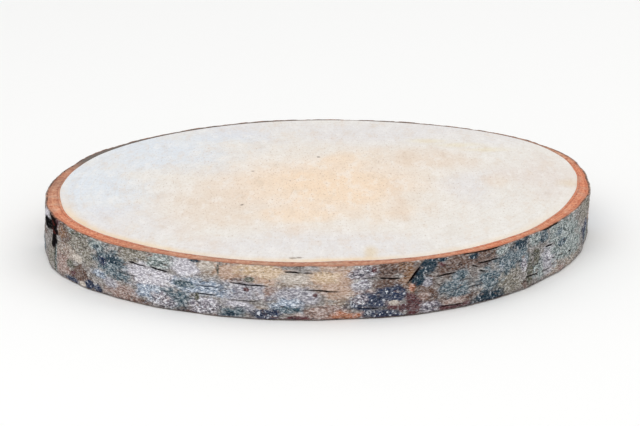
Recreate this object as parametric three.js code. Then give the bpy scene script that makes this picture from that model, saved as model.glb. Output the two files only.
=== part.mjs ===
// A wood slice: one cross cut of a hardwood trunk, lying flat, with its bark on.
// Millimetres, +Z up. The origin is the middle of the slice's box, on its sawn underside.
// A bearing is an angle round the slice in degrees, from +X towards +Y.
// The tree grew as one piece, so wood, inner bark and outer bark are one closed solid.

import * as THREE from 'three';
import { mergeVertices } from 'three/addons/utils/BufferGeometryUtils.js';

// Overall size
const MEAN_RADIUS = 150.4;
const THICKNESS = 28;

// The trunk isn't round: each lobe swells the outline towards its bearing
const LOBES = [
  { waves: 2, swing: 5.85, bearing: 64 },
  { waves: 3, swing: 0.95, bearing: 37 },
  { waves: 4, swing: 1.25, bearing: 31 },
  { waves: 6, swing: 0.4, bearing: -21 },
  { waves: 7, swing: 0.3, bearing: -4 },
];

// The trunk leans a little: its foot lies this far towards -X of its top
const LEAN = 0.9;

// Layers of the bark, measured inwards from its outer face
const OUTER_BARK_WIDTH = 1.5;
const BARK_WIDTH = 8.3;
const BARK_WIDTH_WAVES = [
  { waves: 3, swing: 0.5, bearing: 255 },
  { waves: 8, swing: 0.7, bearing: 217 },
  { waves: 13, swing: 0.3, bearing: 12 },
];

// The bark is much thinner at the back: this wide near the bearing given, and thicker further round
const THIN_BARK = {
  bearing: 90,
  width: 2.6,
  thinWithin: 60,
  thickBeyond: 84,
};

// The soft bark dries and shrinks a little below the sawn faces
const BARK_SHRINK = 0.35;
const CAMBIUM_WIDTH = 0.7;
const CORNER_WEAR = 0.45;
const CORNER_HEIGHT = 0.7;

// Long low waves on the bark; lean is how far a wave drifts round for each mm of height
const BARK_WAVES = [
  { waves: 9, swing: 0.3, bearing: 14, lean: 0.5 },
  { waves: 14, swing: 0.25, bearing: 5, lean: -0.35 },
  { waves: 23, swing: 0.2, bearing: 2, lean: 0.3 },
  { waves: 37, swing: 0.12, bearing: 7, lean: -0.2 },
];

// Branch scar: the bark swells below a sunken eye
const KNOT = {
  bearing: 201,
  height: 17.5,
  swell: 1.0,
  swellBelow: 8,
  swellWidth: 20,
  swellHeight: 9,
  eyeDepth: 2.4,
  eyeWidth: 5.5,
  eyeHeight: 7.5,
};

// Upright crack in the bark: slanted above the kink, upright below it, with a lip on one side
const SCAR = {
  bearing: 286.8,
  kinkHeight: 17,
  slant: 0.37,
  depth: 1.1,
  width: 2.6,
  lip: 0.6,
  lipOffset: 4.5,
  lipWidth: 4,
};

// Lenticels, the short level slits in the bark, where they can be seen from the front.
// Some are wide open and some are nearly closed: opening goes from 0 to 1.
const FRONT_LENTICELS = [
  { from: 209.5, to: 216.3, height: 19.1, opening: 0.35 },
  { from: 228.5, to: 234.6, height: 14.0, opening: 0.6 },
  { from: 231.5, to: 236.0, height: 20.5, opening: 0.9 },
  { from: 236.4, to: 241.0, height: 19.5, opening: 0.9 },
  { from: 244.8, to: 252.5, height: 13.7, opening: 0.6 },
  { from: 246.8, to: 251.0, height: 10.6, opening: 0.8 },
  { from: 252.9, to: 261.4, height: 17.4, opening: 0.8 },
  { from: 252.7, to: 259.7, height: 8.9, opening: 0.6 },
  { from: 263.5, to: 266.3, height: 24.3, opening: 1.0 },
  { from: 267.0, to: 268.8, height: 24.2, opening: 0.7 },
  { from: 266.2, to: 273.6, height: 15.0, opening: 0.75 },
  { from: 265.8, to: 272.7, height: 6.9, opening: 0.5 },
  { from: 281.0, to: 284.7, height: 19.9, opening: 1.0 },
  { from: 278.2, to: 281.0, height: 21.7, opening: 0.6 },
  { from: 292.1, to: 296.8, height: 18.6, opening: 1.0 },
  { from: 293.1, to: 299.9, height: 2.4, opening: 0.6 },
  { from: 301.8, to: 307.1, height: 21.2, opening: 1.0 },
  { from: 299.6, to: 302.3, height: 10.0, opening: 0.6 },
  { from: 315.9, to: 320.9, height: 5.4, opening: 0.8 },
  { from: 322.2, to: 325.9, height: 5.0, opening: 0.7 },
  { from: 323.3, to: 326.7, height: 17.6, opening: 0.9 },
  { from: 336.0, to: 340.0, height: 13.0, opening: 0.6 },
];

// Lenticels round the rest of the bark are drawn by a seeded rule
const BACK_LENTICELS = {
  seed: 4127,
  count: 40,
  firstBearing: -16,
  lastBearing: 196,
  rows: [5, 9.5, 14, 18.5, 23],
  rowScatter: 1.4,
  shortest: 1.8,
  longest: 8.5,
  opening: 0.8,
};
const LENTICEL_DEPTH = 0.5;
const LENTICEL_HALF_HEIGHT = 1.1;

// The tree's first ring lies a little off the middle
const PITH = { x: -4, y: 7 };

// Fineness of the mesh
const COLUMNS = 216;
const SIDE_STRIPS = 13;

const WOOD_COLOUR = 0xe9e2da;
const WOOD_ROUGHNESS = 0.85;

const FULL_TURN = 360;
const HALF_TURN = 180;

function radians(degrees) {
  return THREE.MathUtils.degToRad(degrees);
}

// Degrees from one bearing to another, the short way round
function turnBetween(from, to) {
  return THREE.MathUtils.euclideanModulo(to - from + HALF_TURN, FULL_TURN) - HALF_TURN;
}

// Distance along the bark from one bearing to another
function alongBark(from, to) {
  return radians(turnBetween(from, to)) * MEAN_RADIUS;
}

// A smooth rise of height 1 that has faded at about twice its reach
function rise(distance, reach) {
  return Math.exp(-((distance / reach) ** 2));
}

function wave({ waves, swing, bearing, lean = 0 }, at, height = 0) {
  return swing * Math.cos(radians(waves * (at - bearing - lean * height)));
}

function total(list, of) {
  return list.reduce((sum, item) => sum + of(item), 0);
}

function outlineRadius(bearing, height) {
  const lean = LEAN * (1 - height / THICKNESS) * Math.cos(radians(bearing));
  return MEAN_RADIUS - lean + total(LOBES, (lobe) => wave(lobe, bearing));
}

function barkWidth(bearing) {
  const thick = BARK_WIDTH + total(BARK_WIDTH_WAVES, (item) => wave(item, bearing));
  const away = Math.abs(turnBetween(THIN_BARK.bearing, bearing));
  const share = THREE.MathUtils.smoothstep(away, THIN_BARK.thinWithin, THIN_BARK.thickBeyond);
  return THIN_BARK.width + (thick - THIN_BARK.width) * share;
}

// Repeatable draws between 0 and 1
function drawsFrom(seed) {
  const modulus = 2147483647;
  const multiplier = 48271;
  let state = seed;
  return () => {
    state = (state * multiplier) % modulus;
    return state / modulus;
  };
}

function backLenticels() {
  const plan = BACK_LENTICELS;
  const draw = drawsFrom(plan.seed);
  const step = (plan.lastBearing - plan.firstBearing) / plan.count;
  return Array.from({ length: plan.count }, (_, i) => {
    const middle = plan.firstBearing + (i + draw()) * step;
    const row = plan.rows[Math.floor(draw() * plan.rows.length)];
    const height = row + (draw() - 0.5) * plan.rowScatter;
    const length = plan.shortest + (plan.longest - plan.shortest) * draw() ** 2;
    return { from: middle - length / 2, to: middle + length / 2, height, opening: plan.opening };
  });
}

const LENTICELS = [...FRONT_LENTICELS, ...backLenticels()];

// A lenticel is a level slit that fades out at both ends
function lenticelDepth({ from, to, height, opening }, bearing, at) {
  const halfLength = alongBark(from, to) / 2;
  const distance = Math.abs(alongBark((from + to) / 2, bearing));
  const reach = Math.max(0, 1 - (distance / (halfLength + LENTICEL_HALF_HEIGHT)) ** 4);
  return LENTICEL_DEPTH * opening * reach * rise(at - height, LENTICEL_HALF_HEIGHT);
}

function knotHeight(bearing, height) {
  const across = alongBark(KNOT.bearing, bearing);
  const up = height - KNOT.height;
  const below = rise(up + KNOT.swellBelow, KNOT.swellHeight);
  const swell = KNOT.swell * rise(across, KNOT.swellWidth) * below;
  const eye = KNOT.eyeDepth * rise(across, KNOT.eyeWidth) * rise(up, KNOT.eyeHeight);
  return swell - eye;
}

function scarHeight(bearing, height) {
  const slanted = SCAR.bearing + SCAR.slant * Math.max(0, height - SCAR.kinkHeight);
  const across = alongBark(slanted, bearing);
  const lip = SCAR.lip * rise(across + SCAR.lipOffset, SCAR.lipWidth);
  return lip - SCAR.depth * rise(across, SCAR.width);
}

function barkRadius(bearing, height) {
  const waves = total(BARK_WAVES, (item) => wave(item, bearing, height));
  const slits = total(LENTICELS, (item) => lenticelDepth(item, bearing, height));
  return outlineRadius(bearing, height) + waves - slits
    + knotHeight(bearing, height) + scarHeight(bearing, height);
}

// One section through the slice, from the wood's lower edge round the bark to its upper edge
function section(bearing) {
  const width = barkWidth(bearing);
  const lowest = CORNER_HEIGHT;
  const highest = THICKNESS - CORNER_HEIGHT;
  const side = Array.from({ length: SIDE_STRIPS + 1 }, (_, i) => {
    const height = lowest + (highest - lowest) * (i / SIDE_STRIPS);
    const corner = i === 0 || i === SIDE_STRIPS ? CORNER_WEAR : 0;
    return [barkRadius(bearing, height) - corner, height];
  });
  const layers = (height, barkHeight) => [
    [outlineRadius(bearing, height) - width, height],
    [outlineRadius(bearing, height) - width + CAMBIUM_WIDTH, barkHeight],
    [outlineRadius(bearing, height) - OUTER_BARK_WIDTH, barkHeight],
  ];
  return [
    ...layers(0, BARK_SHRINK),
    ...side,
    ...layers(THICKNESS, THICKNESS - BARK_SHRINK).reverse(),
  ];
}

// Joins the sections all the way round and closes both sawn faces on the pith
function sliceGeometry() {
  const points = [];
  const faces = [];
  for (let column = 0; column < COLUMNS; column += 1) {
    const bearing = (column / COLUMNS) * FULL_TURN;
    for (const [radius, height] of section(bearing)) {
      points.push(radius * Math.cos(radians(bearing)), radius * Math.sin(radians(bearing)), height);
    }
  }
  const rows = section(0).length;
  const underPith = COLUMNS * rows;
  const topPith = underPith + 1;
  points.push(PITH.x, PITH.y, 0, PITH.x, PITH.y, THICKNESS);
  for (let column = 0; column < COLUMNS; column += 1) {
    const here = column * rows;
    const next = ((column + 1) % COLUMNS) * rows;
    faces.push(underPith, next, here);
    for (let row = 0; row < rows - 1; row += 1) {
      faces.push(here + row, next + row, next + row + 1);
      faces.push(here + row, next + row + 1, here + row + 1);
    }
    faces.push(topPith, here + rows - 1, next + rows - 1);
  }
  const geometry = new THREE.BufferGeometry();
  geometry.setAttribute('position', new THREE.Float32BufferAttribute(points, 3));
  geometry.setIndex(faces);
  return geometry;
}

// Moves the middle of the slice's box to the origin
function centred(geometry) {
  geometry.computeBoundingBox();
  const middle = geometry.boundingBox.getCenter(new THREE.Vector3());
  geometry.translate(-middle.x, -middle.y, 0);
  return geometry;
}

const geometry = centred(mergeVertices(sliceGeometry()));
geometry.computeVertexNormals();
const woodMaterial = new THREE.MeshStandardMaterial({
  color: WOOD_COLOUR,
  roughness: WOOD_ROUGHNESS,
  metalness: 0,
});
const slice = new THREE.Mesh(geometry, woodMaterial);
slice.name = 'wood_slice';

const group = new THREE.Group();
group.add(slice);

export default group;
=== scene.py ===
import math

import bpy
import numpy as np
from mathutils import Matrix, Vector, noise


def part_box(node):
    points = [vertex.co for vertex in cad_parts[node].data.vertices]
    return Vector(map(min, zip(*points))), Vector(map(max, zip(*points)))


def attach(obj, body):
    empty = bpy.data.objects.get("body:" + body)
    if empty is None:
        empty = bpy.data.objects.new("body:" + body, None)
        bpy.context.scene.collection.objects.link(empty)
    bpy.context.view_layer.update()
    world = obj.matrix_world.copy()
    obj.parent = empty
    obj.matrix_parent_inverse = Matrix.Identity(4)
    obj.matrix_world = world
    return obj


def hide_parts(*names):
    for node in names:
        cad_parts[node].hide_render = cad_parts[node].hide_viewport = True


# A wood slice: pale sawn hardwood inside an orange inner bark and a grey outer bark.
# Shapes are worked out in millimetres and degrees, and the finished meshes are in metres.
# A bearing is an angle round the slice in degrees, from +X towards +Y; the camera is at -Y.

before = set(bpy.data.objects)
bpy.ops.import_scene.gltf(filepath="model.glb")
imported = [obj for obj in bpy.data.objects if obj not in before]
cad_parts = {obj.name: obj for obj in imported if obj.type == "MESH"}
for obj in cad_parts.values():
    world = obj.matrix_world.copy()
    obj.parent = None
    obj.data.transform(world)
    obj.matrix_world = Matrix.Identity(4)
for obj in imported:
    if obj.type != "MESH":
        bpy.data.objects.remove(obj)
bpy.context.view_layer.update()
wood_low, wood_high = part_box("wood_slice")

# Metres in a millimetre, and the mean radius of the trunk
MM = 0.001
MEAN_RADIUS = 150.4
THICKNESS = round((wood_high.z - wood_low.z) / MM, 3)

# The trunk's outline: waves round the slice, swing in millimetres, bearing of the first crest
LOBES = (
    (2, 5.85, 64),
    (3, 0.95, 37),
    (4, 1.25, 31),
    (6, 0.4, -21),
    (7, 0.3, -4),
)

# The trunk leans a little: its foot lies this far towards -X of its top
LEAN = 0.9

# Layers of the bark, measured inwards from its outer face
OUTER_BARK_WIDTH = 1.5
BARK_WIDTH = 8.3

# How thick the whole bark is round the slice: bearing, width. It is thinnest at the back.
BARK_WIDTHS = (
    (0, 7.6),
    (12, 6.2),
    (24, 4.8),
    (36, 4.0),
    (60, 4.0),
    (82, 4.2),
    (100, 4.8),
    (128, 4.6),
    (150, 5.2),
    (166, 6.2),
    (180, 7.0),
    (196, 8.8),
    (206, 8.4),
    (216, 8.6),
    (230, 9.2),
    (242, 8.2),
    (258, 7.6),
    (266, 7.8),
    (274, 9.4),
    (283, 7.8),
    (291, 6.8),
    (310, 7.2),
    (320, 6.6),
    (333, 7.8),
    (348, 8.4),
    (360, 7.6),
)

# How far each layer of bark runs into the layer inside it, and how far the bark has shrunk from
# both sawn faces
OVERLAP = 0.8
BARK_SHRINK = 0.35

# Long low waves on the bark: waves, swing, bearing, drift in degrees for each millimetre of height
BARK_WAVES = (
    (9, 0.3, 14, 0.5),
    (14, 0.25, 5, -0.35),
    (23, 0.2, 2, 0.3),
    (37, 0.12, 7, -0.2),
)

# The relief is set in by this much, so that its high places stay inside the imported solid
HEADROOM = 0.4

# Where the pith lies from the axis, and how finely the outline is followed to find that axis
PITH = (-4, 7)
AXIS_STEP = 0.5
AXIS_LEVELS = 15

# Branch scar at the left: a swelling of the bark below a sunken eye
KNOT_BEARING = 201
KNOT_HEIGHT = 17.5
KNOT_SWELL = 1.0
KNOT_SWELL_BELOW = 8
KNOT_SWELL_REACH = (20, 9)
KNOT_EYE = 2.4
KNOT_EYE_REACH = (5.5, 7.5)

# Upright crack at the front, slanted above its kink. It opens and narrows over spans of height,
# has a shallow foot, and a lip stands to one side of it.
SCAR_BEARING = 286.5
SCAR_KINK = 17
SCAR_SLANT = 0.33
SCAR_REACH = 0.75
SCAR_OPENS = (15, 19)
SCAR_NARROWS = (22, 25)
SCAR_NARROWING = 0.7
SCAR_FOOT = 0.25
SCAR_FOOT_REACH = 1.4
SCAR_FOOT_ENDS = (8, 16)
SCAR_LIP_OFFSET = 2.2
SCAR_LIP_REACH = 1.3
SCAR_LIP_STARTS = (14, 18)

# Shallow upright creases: bearing at the top, bearing at the bottom, top, bottom, depth
CREASES = (
    (206.8, 207.3, 15, 1, 0.7),
    (317.2, 316.6, 24, 8, 0.35),
    (319.4, 318.6, 27, 3, 0.4),
    (321.5, 321.3, 25, 6, 0.35),
    (251.6, 251.2, 13, 3, 0.3),
)

# Lenticels seen from the front: bearings of both ends, heights of both ends, how open each one is
FRONT_LENTICELS = (
    (209.5, 216.3, 18.6, 19.6, 0.35),
    (228.5, 234.6, 14.4, 13.6, 0.6),
    (231.5, 236.3, 21.0, 19.9, 0.9),
    (236.9, 241.0, 20.0, 19.3, 0.9),
    (242.4, 246.0, 15.0, 15.8, 0.5),
    (245.8, 252.8, 14.6, 14.4, 0.6),
    (246.6, 251.2, 10.4, 10.9, 0.8),
    (252.9, 261.4, 17.9, 17.3, 0.85),
    (252.7, 259.7, 9.2, 9.4, 0.6),
    (263.5, 266.2, 24.9, 24.3, 1.0),
    (267.0, 268.8, 24.4, 24.0, 0.7),
    (266.4, 274.2, 15.9, 14.4, 0.8),
    (265.8, 272.7, 7.8, 6.2, 0.5),
    (269.4, 276.0, 25.6, 24.8, 0.25),
    (277.2, 281.0, 21.3, 20.7, 0.6),
    (280.8, 284.9, 20.3, 19.7, 1.0),
    (278.0, 280.6, 13.2, 13.0, 0.4),
    (276.4, 282.0, 5.6, 4.8, 0.6),
    (292.1, 296.6, 18.2, 19.0, 1.0),
    (292.8, 299.0, 2.5, 2.3, 0.7),
    (290.6, 291.9, 17.8, 16.4, 0.6),
    (292.2, 293.2, 14.8, 13.2, 0.6),
    (294.6, 298.6, 7.9, 8.5, 0.4),
    (300.2, 301.5, 21.0, 19.7, 0.8),
    (301.5, 307.3, 21.7, 21.3, 1.0),
    (302.0, 303.4, 17.5, 16.3, 0.9),
    (299.6, 302.3, 10.2, 9.9, 0.6),
    (315.9, 321.4, 6.2, 5.3, 0.9),
    (322.4, 326.0, 5.0, 4.8, 0.7),
    (323.4, 327.1, 17.9, 17.2, 1.0),
    (324.9, 326.0, 9.7, 9.4, 0.8),
    (326.8, 328.2, 9.6, 9.3, 0.8),
    (329.0, 332.4, 9.6, 8.4, 0.6),
    (334.6, 336.7, 8.4, 7.8, 0.9),
)

# The rest of the lenticels are drawn by a seeded rule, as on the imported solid
BACK_SEED = 4127
BACK_COUNT = 40
BACK_SPAN = (-16, 196)
BACK_ROWS = (5, 9.5, 14, 18.5, 23)
BACK_SCATTER = 1.4
BACK_LENGTHS = (1.8, 8.5)

# Their tilt, in millimetres for each degree of length, and their opening have draws of their own
BACK_TILT_SEED = 77
BACK_TILT = 0.1
BACK_OPENING = (0.4, 1.0)


def turn_between(start, end):
    """Degrees from one bearing to another, the short way round."""
    return (end - start + 180) % 360 - 180


def along_bark(start, end):
    """Millimetres along the bark from one bearing to another."""
    return np.radians(turn_between(start, end)) * MEAN_RADIUS


def rise(distance, reach):
    """A smooth rise of height 1 that has faded at about twice its reach."""
    return np.exp(-((distance / reach) ** 2))


def step(value, low, high):
    """0 below low, 1 above high and a smooth change between."""
    part = np.clip((value - low) / (high - low), 0, 1)
    return part * part * (3 - 2 * part)


def outline(bearing, height):
    """The bark's radius before its relief."""
    radius = MEAN_RADIUS - LEAN * (1 - height / THICKNESS) * np.cos(np.radians(bearing))
    for waves, swing, crest in LOBES:
        radius = radius + swing * np.cos(np.radians(waves * (bearing - crest)))
    return radius


def eased(bearing, stops):
    """A value that changes smoothly round the slice from one (bearing, value) stop to the next."""
    value = np.zeros_like(bearing)
    for (start, first), (end, last) in zip(stops, stops[1:]):
        inside = (bearing >= start) & (bearing <= end)
        value = np.where(inside, first + (last - first) * step(bearing, start, end), value)
    return value


def bark_width(bearing):
    """How thick the whole bark is at a bearing."""
    return eased(bearing % 360, BARK_WIDTHS)


def draws_from(seed):
    """Repeatable draws between 0 and 1."""
    modulus = 2147483647
    multiplier = 48271
    state = seed
    while True:
        state = state * multiplier % modulus
        yield state / modulus


def back_lenticels():
    """Lenticels on the side that the front doesn't show, one in each equal part of the span."""
    draw = draws_from(BACK_SEED)
    draw_tilt = draws_from(BACK_TILT_SEED)
    spacing = (BACK_SPAN[1] - BACK_SPAN[0]) / BACK_COUNT
    found = []
    for i in range(BACK_COUNT):
        middle = BACK_SPAN[0] + (i + next(draw)) * spacing
        row = BACK_ROWS[int(next(draw) * len(BACK_ROWS))]
        height = row + (next(draw) - 0.5) * BACK_SCATTER
        length = BACK_LENGTHS[0] + (BACK_LENGTHS[1] - BACK_LENGTHS[0]) * next(draw) ** 2
        tilt = BACK_TILT * length * (next(draw_tilt) - 0.5)
        opening = BACK_OPENING[0] + (BACK_OPENING[1] - BACK_OPENING[0]) * next(draw_tilt)
        found.append((middle - length / 2, middle + length / 2, height - tilt, height + tilt, opening))
    return found


LENTICELS = list(FRONT_LENTICELS) + back_lenticels()

# Colour of each kind of patch on the bark and how strongly it is speckled, from 0 to 1.
# They lie on each other in this order.
BARK_KINDS = {
    "sage": ("#918c83", 0.70),
    "beige": ("#a99d93", 0.64),
    "tan": ("#bda494", 0.32),
    "brown": ("#77665f", 0.75),
    "gold": ("#8d7362", 0.70),
    "pink": ("#a6928b", 0.60),
    "lilac": ("#acaab1", 0.56),
    "silver": ("#c9c6cd", 0.45),
    "sky": ("#a3adbb", 0.70),
    "green": ("#98a09f", 0.72),
    "teal": ("#6c7980", 0.85),
    "olive": ("#75746b", 0.80),
    "deep": ("#33434e", 0.90),
    "navy": ("#464d60", 0.95),
    "crust": ("#9f9aa1", 0.94),
    "rust": ("#b88670", 0.60),
    "maroon": ("#694e50", 0.75),
    "cream": ("#c6bdb4", 0.32),
    "wheat": ("#cfb9a1", 0.32),
    "pitch": ("#0c0809", 0.20),
    "ember": ("#451c17", 0.60),
}
BARE_GRAIN = 0.50

# Kinds whose edge stays narrow at any size, and kinds that only the front has
SHARP_KINDS = ("pitch", "ember")
FRONT_ONLY_KINDS = ("pitch", "ember", "rust", "maroon")

# Kinds that carry pale scales and dark granules, and how thickly
CRUSTY_KINDS = (("crust", 1.0), ("navy", 0.9), ("deep", 0.65), ("teal", 0.45), ("silver", 0.1))

# Patches seen from the front: kind, bearing, height, width, height from top to bottom
FRONT_PATCHES = (
    # Round the knot
    ("silver", 198.4, 24, 10, 9),
    ("sage", 203.5, 8, 12, 13),
    ("maroon", 206.4, 24.8, 8, 8),
    ("pitch", 203.6, 24.0, 15, 6.4),
    ("pitch", 200.0, 20.6, 15, 6.4),
    ("pitch", 205.4, 21.0, 13, 5),
    ("pitch", 205.4, 16.6, 13, 5.6),
    ("pitch", 204.8, 27.4, 8, 2.6),
    ("pitch", 206.3, 17.4, 8, 7),
    ("ember", 205.0, 20.2, 9, 1.6),
    ("ember", 202.0, 18.2, 8, 2.4),
    ("brown", 196.4, 15.4, 12, 3),
    ("ember", 204.2, 24.0, 6, 1.4),
    ("olive", 206.9, 7, 3, 13),
    ("green", 207.9, 8.5, 1.8, 15),
    # From the knot to the first long lenticel
    ("brown", 210.5, 23.5, 13, 8),
    ("gold", 209.8, 23.4, 8, 6),
    ("sage", 211.4, 26.4, 8, 3),
    ("sage", 216, 22, 26, 13),
    ("sage", 220, 17.5, 16, 8),
    ("olive", 216.6, 26.2, 12, 2),
    ("green", 214.4, 26.6, 9, 2.4),
    ("green", 223.2, 24.4, 11, 5),
    ("teal", 223.4, 23.4, 5, 3),
    ("cream", 216.8, 14, 9, 3.6),
    ("beige", 212, 14, 20, 8),
    ("pink", 211.4, 8, 14, 10),
    ("olive", 214.2, 9, 9, 4),
    ("brown", 217.6, 6.2, 17, 8),
    ("maroon", 215.4, 5.4, 4, 2.2),
    ("navy", 214.8, 1.6, 11, 2.4),
    ("cream", 218.8, 1.7, 4.4, 1.8),
    ("navy", 221.3, 2.6, 5, 4),
    ("navy", 223.8, 2.0, 4.4, 4),
    ("sky", 224.2, 10.4, 9, 4),
    ("lilac", 227.2, 7.4, 9, 5),
    ("pink", 229.6, 4.6, 20, 7),
    ("teal", 226.8, 18.6, 18, 10),
    ("deep", 228.2, 20.2, 6, 4),
    ("navy", 225.4, 17.6, 6, 3.6),
    ("teal", 229.6, 12.6, 18, 4.6),
    ("silver", 236.8, 15, 27, 11),
    ("sky", 236.8, 7.2, 13, 7),
    ("brown", 233.6, 1.8, 18, 3.4),
    ("sage", 234, 24.2, 24, 9),
    # From there to the middle of the front
    ("green", 239, 23.4, 12, 7),
    ("silver", 244.4, 22.4, 15, 7),
    ("deep", 246.8, 27.2, 5, 1.6),
    ("beige", 249, 24.4, 13, 9),
    ("cream", 248.6, 25.2, 7, 4),
    ("olive", 251, 24, 0.8, 6),
    ("tan", 253.6, 23.8, 14, 10),
    ("tan", 259.6, 23.2, 24, 9),
    ("wheat", 258.6, 24.8, 20, 6),
    ("brown", 255.4, 19.6, 9, 1.8),
    ("olive", 257.2, 20.6, 5, 2.6),
    ("sky", 247.4, 14.2, 26, 8),
    ("teal", 244.4, 14.6, 9, 3.6),
    ("lilac", 255.6, 13, 16, 9),
    ("maroon", 256.6, 15.4, 2.4, 1.8),
    ("pink", 260.4, 13.6, 11, 5),
    ("lilac", 265.8, 12.2, 20, 8),
    ("maroon", 269.1, 13.1, 2.4, 1.8),
    ("sky", 264, 7.4, 13, 6),
    ("teal", 264.6, 5.4, 9, 3),
    ("navy", 260.2, 2.7, 12, 4.4),
    ("deep", 260.8, 2.2, 6, 2.4),
    ("teal", 253.6, 3.2, 11, 5),
    ("deep", 253.6, 2.2, 5, 2),
    ("pink", 268.4, 2.8, 16, 4),
    ("maroon", 265.4, 1.5, 15, 1.5),
    ("teal", 242.4, 6.4, 13, 9),
    ("crust", 240.4, 4.4, 12, 6),
    ("brown", 244.6, 1.6, 9, 2.4),
    ("silver", 249.2, 5.8, 12, 6),
    ("crust", 248.4, 4.0, 14, 5),
    ("olive", 246.9, 9, 2.4, 4),
    ("cream", 264.8, 21.8, 14, 5),
    ("beige", 266.6, 18, 26, 6),
    ("lilac", 255.2, 6.4, 15, 5),
    ("silver", 254.6, 7.6, 8, 3),
    ("beige", 258.4, 5.6, 8, 3),
    ("pink", 270.4, 4.8, 16, 5),
    # From the middle to the scar
    ("tan", 272.6, 20.6, 20, 17),
    ("wheat", 271, 22.6, 11, 6),
    ("beige", 274, 12.2, 13, 10),
    ("crust", 277.8, 22.9, 9.5, 7.4),
    ("maroon", 279.9, 25.2, 1.8, 2.2),
    ("brown", 283, 24, 15, 10),
    ("brown", 282.6, 17.2, 15, 6),
    ("lilac", 277.4, 17.6, 9, 5),
    ("gold", 286.5, 20.5, 8, 14),
    ("pink", 278.6, 13.2, 10, 3.4),
    ("navy", 283, 12.4, 15, 7),
    ("navy", 278.8, 8.3, 17, 7),
    ("crust", 277.2, 9.8, 6, 4),
    ("pink", 283.4, 7.4, 7, 3),
    ("cream", 283.6, 7.6, 4, 1.8),
    ("crust", 285.6, 4.2, 3, 4),
    ("maroon", 283.6, 5.0, 6, 2),
    ("maroon", 285.2, 4.6, 3, 4),
    ("navy", 281.2, 2.2, 20, 4),
    ("pink", 273.2, 2.6, 18, 5),
    ("gold", 274.4, 2.2, 13, 4.2),
    ("rust", 275.2, 2.0, 11, 4.0),
    ("gold", 287.2, 14.2, 4.4, 7),
    ("rust", 287.2, 13.8, 2.8, 3.6),
    ("maroon", 287.2, 6, 6, 13),
    # From the scar to the right
    ("deep", 290.4, 24.4, 9, 7),
    ("deep", 288.3, 19.0, 5.4, 7),
    ("brown", 290.4, 12, 14, 12),
    ("lilac", 290.6, 15.6, 5, 4),
    ("pink", 289.6, 9.6, 6, 3),
    ("crust", 291.1, 2.6, 9, 5),
    ("teal", 296.6, 11, 17, 8),
    ("teal", 297.4, 16.8, 9, 6),
    ("green", 297.8, 17, 5, 3),
    ("brown", 296.4, 23, 24, 10),
    ("maroon", 293.4, 24.4, 4, 2.0),
    ("deep", 293.8, 26.4, 5, 2.2),
    ("deep", 300.4, 25.6, 5, 2.2),
    ("brown", 297, 5.4, 22, 5),
    ("pink", 296.6, 4.8, 12, 3),
    ("maroon", 298.9, 2.4, 4, 1.6),
    ("maroon", 295, 1.7, 14, 1.8),
    ("deep", 304.6, 2.2, 19, 6),
    ("brown", 303.8, 24.2, 15, 7),
    ("sage", 304.2, 24.4, 12, 5),
    ("green", 308, 24.6, 8, 4.4),
    ("teal", 309.4, 18.6, 18, 10),
    ("sky", 308, 17.4, 6, 6),
    ("teal", 304.6, 11.6, 15, 10),
    ("beige", 303, 6.2, 7, 4),
    ("sage", 310.2, 8, 19, 15),
    ("deep", 313.6, 25.2, 14, 5),
    ("teal", 314.4, 20.4, 12, 10),
    ("teal", 315.6, 15.4, 9, 7),
    ("crust", 315.4, 13.4, 5, 6),
    ("olive", 317.3, 9.6, 6, 13),
    ("olive", 320, 15, 6, 8),
    ("green", 318.8, 24, 11, 6),
    ("teal", 322.8, 23.8, 8, 7),
    ("deep", 322, 21.8, 3, 2.4),
    ("brown", 317, 3, 8, 5),
    ("green", 320.6, 7, 11, 10),
    ("lilac", 325.2, 11.6, 17, 13),
    ("silver", 325.8, 13, 6, 6),
    ("green", 333, 18, 34, 20),
    ("beige", 337, 5, 26, 9),
    ("green", 338, 10, 26, 10),
    ("green", 327.4, 24, 16, 8),
    ("beige", 328.4, 3.4, 18, 7),
    ("silver", 335, 15.4, 9, 4),
    ("teal", 331.4, 15.6, 7, 3),
    ("sky", 329.6, 12, 7, 4),
    ("teal", 330, 22, 8, 3),
    ("pink", 331, 2.6, 9, 3.4),
    ("sage", 327.6, 22.6, 6, 5),
)

# Patches that the front doesn't show are drawn by a seeded rule
HIDDEN_SEED = 911
HIDDEN_COUNT = 74
HIDDEN_SPAN = (-14, 192)
HIDDEN_WIDTHS = (6, 30)
HIDDEN_SLIMNESS = (0.3, 0.7)

# Narrow patches are drawn more often than wide ones by this power
HIDDEN_NARROWING = 1.5


def hidden_patches():
    """Patches of every common kind, one in each equal part of the span."""
    draw = draws_from(HIDDEN_SEED)
    kinds = [kind for kind in BARK_KINDS if kind not in FRONT_ONLY_KINDS]
    found = []
    for i in range(HIDDEN_COUNT):
        kind = kinds[int(next(draw) * len(kinds))]
        bearing = HIDDEN_SPAN[0] + (i + next(draw)) / HIDDEN_COUNT * (HIDDEN_SPAN[1] - HIDDEN_SPAN[0])
        share = next(draw) ** HIDDEN_NARROWING
        wide = HIDDEN_WIDTHS[0] + (HIDDEN_WIDTHS[1] - HIDDEN_WIDTHS[0]) * share
        slimness = HIDDEN_SLIMNESS[0] + (HIDDEN_SLIMNESS[1] - HIDDEN_SLIMNESS[0]) * next(draw)
        found.append((kind, bearing, THICKNESS * next(draw), wide, wide * slimness))
    return found


BARK_PATCHES = list(FRONT_PATCHES) + hidden_patches()

# How far each seed shifts the noise, and how strong each finer layer is next to the one before
SEED_SHIFT = (17.3, 5.1, 9.7)
FINER_STRENGTH = 0.55

# Where a blot's edge lies, from 0 in its middle to 1 at half its width
BLOT_EDGE = 1.2


def noise_at(points, size, seed):
    """Smooth noise from -1 to 1 at points in millimetres, with lumps of about the size given."""
    size = np.array(size) * np.ones(3)
    shifted = points / size + seed * np.array(SEED_SHIFT)
    return np.array([noise.noise(Vector(p)) for p in shifted])


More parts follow.
